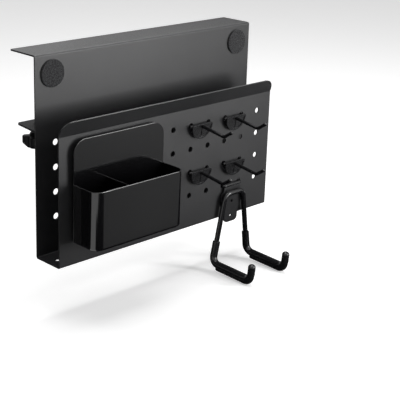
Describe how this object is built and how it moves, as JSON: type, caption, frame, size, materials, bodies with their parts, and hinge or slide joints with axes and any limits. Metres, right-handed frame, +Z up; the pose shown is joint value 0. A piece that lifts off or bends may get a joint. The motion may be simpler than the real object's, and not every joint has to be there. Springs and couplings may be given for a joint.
{
  "type": "side desk organizer",
  "caption": "Folded steel pegboard that clamps to a desk's edge, with a divided bin, wire hooks and a double-arm hanger that hang in its holes.",
  "frame": {"origin": "middle of the top flange's underside, the face that sits on the desk", "axes": "+X along the desk's edge, +Y in over the desk top from the tall wall, +Z up"},
  "size_m": [0.29, 0.1494, 0.2567],
  "materials": {
    "panel_coat": "satin powder coat",
    "edge_pad_felt": "pressed felt",
    "bracket_coat": "satin powder coat",
    "black_zinc": "black zinc plate",
    "knob_plastic": "fine texture",
    "pad_rubber": "matt",
    "bin_coat": "smooth semi-gloss coat",
    "wire_coat": "gloss coat",
    "hook_plastic": "moulded",
    "hanger_coat": "satin coat",
    "sleeve_rubber": "dipped, glossy"
  },
  "bodies": {
    "panel": {"main_panel": "panel_coat", "bracket_studs": "black_zinc", "bracket_nuts": "black_zinc", "edge_pad_left": "edge_pad_felt", "clamp_bracket_left": "bracket_coat", "clamp_nut_left": "black_zinc", "edge_pad_right": "edge_pad_felt", "clamp_bracket_right": "bracket_coat", "clamp_nut_right": "black_zinc"},
    "pressure_foot_left": {"pressure_plate_left": "black_zinc", "pressure_pad_left": "pad_rubber"},
    "clamp_screw_left": {"clamp_screw_left": "black_zinc", "clamp_knob_left": "knob_plastic"},
    "pressure_foot_right": {"pressure_plate_right": "black_zinc", "pressure_pad_right": "pad_rubber"},
    "clamp_screw_right": {"clamp_screw_right": "black_zinc", "clamp_knob_right": "knob_plastic"},
    "hook_upper_left": {"hook_upper_left_wire": "wire_coat", "hook_upper_left_base": "hook_plastic"},
    "hook_upper_right": {"hook_upper_right_wire": "wire_coat", "hook_upper_right_base": "hook_plastic"},
    "hook_lower_left": {"hook_lower_left_wire": "wire_coat", "hook_lower_left_base": "hook_plastic"},
    "hook_lower_right": {"hook_lower_right_wire": "wire_coat", "hook_lower_right_base": "hook_plastic"},
    "bin": {"bin_back_plate": "bin_coat", "bin_tray": "bin_coat", "bin_divider": "bin_coat", "bin_prongs": "wire_coat", "bin_bumpers": "pad_rubber"},
    "hanger": {"hanger_plate": "hanger_coat", "hanger_prongs": "wire_coat", "hanger_frame": "wire_coat", "hanger_sleeve_left": "sleeve_rubber", "hanger_sleeve_right": "sleeve_rubber"}
  },
  "joints": [
    {"name": "clamp_left_lift", "type": "slide", "parent": "panel", "child": "pressure_foot_left", "axis": [0, 0, 1], "range_m": [-0.0601, 0.0001]},
    {"name": "clamp_left_turn", "type": "hinge", "parent": "pressure_foot_left", "child": "clamp_screw_left", "pos_m": [-0.117, 0.014, -0.07], "axis": [0, 0, 1], "range_deg": [-21600, 0]},
    {"name": "clamp_right_lift", "type": "slide", "parent": "panel", "child": "pressure_foot_right", "axis": [0, 0, 1], "range_m": [-0.0601, 0.0001]},
    {"name": "clamp_right_turn", "type": "hinge", "parent": "pressure_foot_right", "child": "clamp_screw_right", "pos_m": [0.117, 0.014, -0.07], "axis": [0, 0, 1], "range_deg": [-21600, 0]},
    {"name": "hook_upper_left_lift", "type": "hinge", "parent": "panel", "child": "hook_upper_left", "pos_m": [0.0366, -0.05475, -0.0878], "axis": [-1, 0, 0], "range_deg": [0, 30]},
    {"name": "hook_upper_right_lift", "type": "hinge", "parent": "panel", "child": "hook_upper_right", "pos_m": [0.0869, -0.05475, -0.0878], "axis": [-1, 0, 0], "range_deg": [0, 30]},
    {"name": "hook_lower_left_lift", "type": "hinge", "parent": "panel", "child": "hook_lower_left", "pos_m": [0.0371, -0.05475, -0.1378], "axis": [-1, 0, 0], "range_deg": [0, 30]},
    {"name": "hook_lower_right_lift", "type": "hinge", "parent": "panel", "child": "hook_lower_right", "pos_m": [0.0878, -0.05475, -0.1378], "axis": [-1, 0, 0], "range_deg": [0, 30]},
    {"name": "bin_lift", "type": "hinge", "parent": "panel", "child": "bin", "pos_m": [-0.075, -0.05475, -0.0878], "axis": [-1, 0, 0], "range_deg": [0, 15]},
    {"name": "hanger_lift", "type": "hinge", "parent": "panel", "child": "hanger", "pos_m": [0.0877, -0.05475, -0.1628], "axis": [-1, 0, 0], "range_deg": [0, 30]}
  ],
  "couplings": [
    {"joint": "clamp_left_lift", "follows": "clamp_left_turn", "m_per_rad": 0.00015915},
    {"joint": "clamp_right_lift", "follows": "clamp_right_turn", "m_per_rad": 0.00015915}
  ]
}
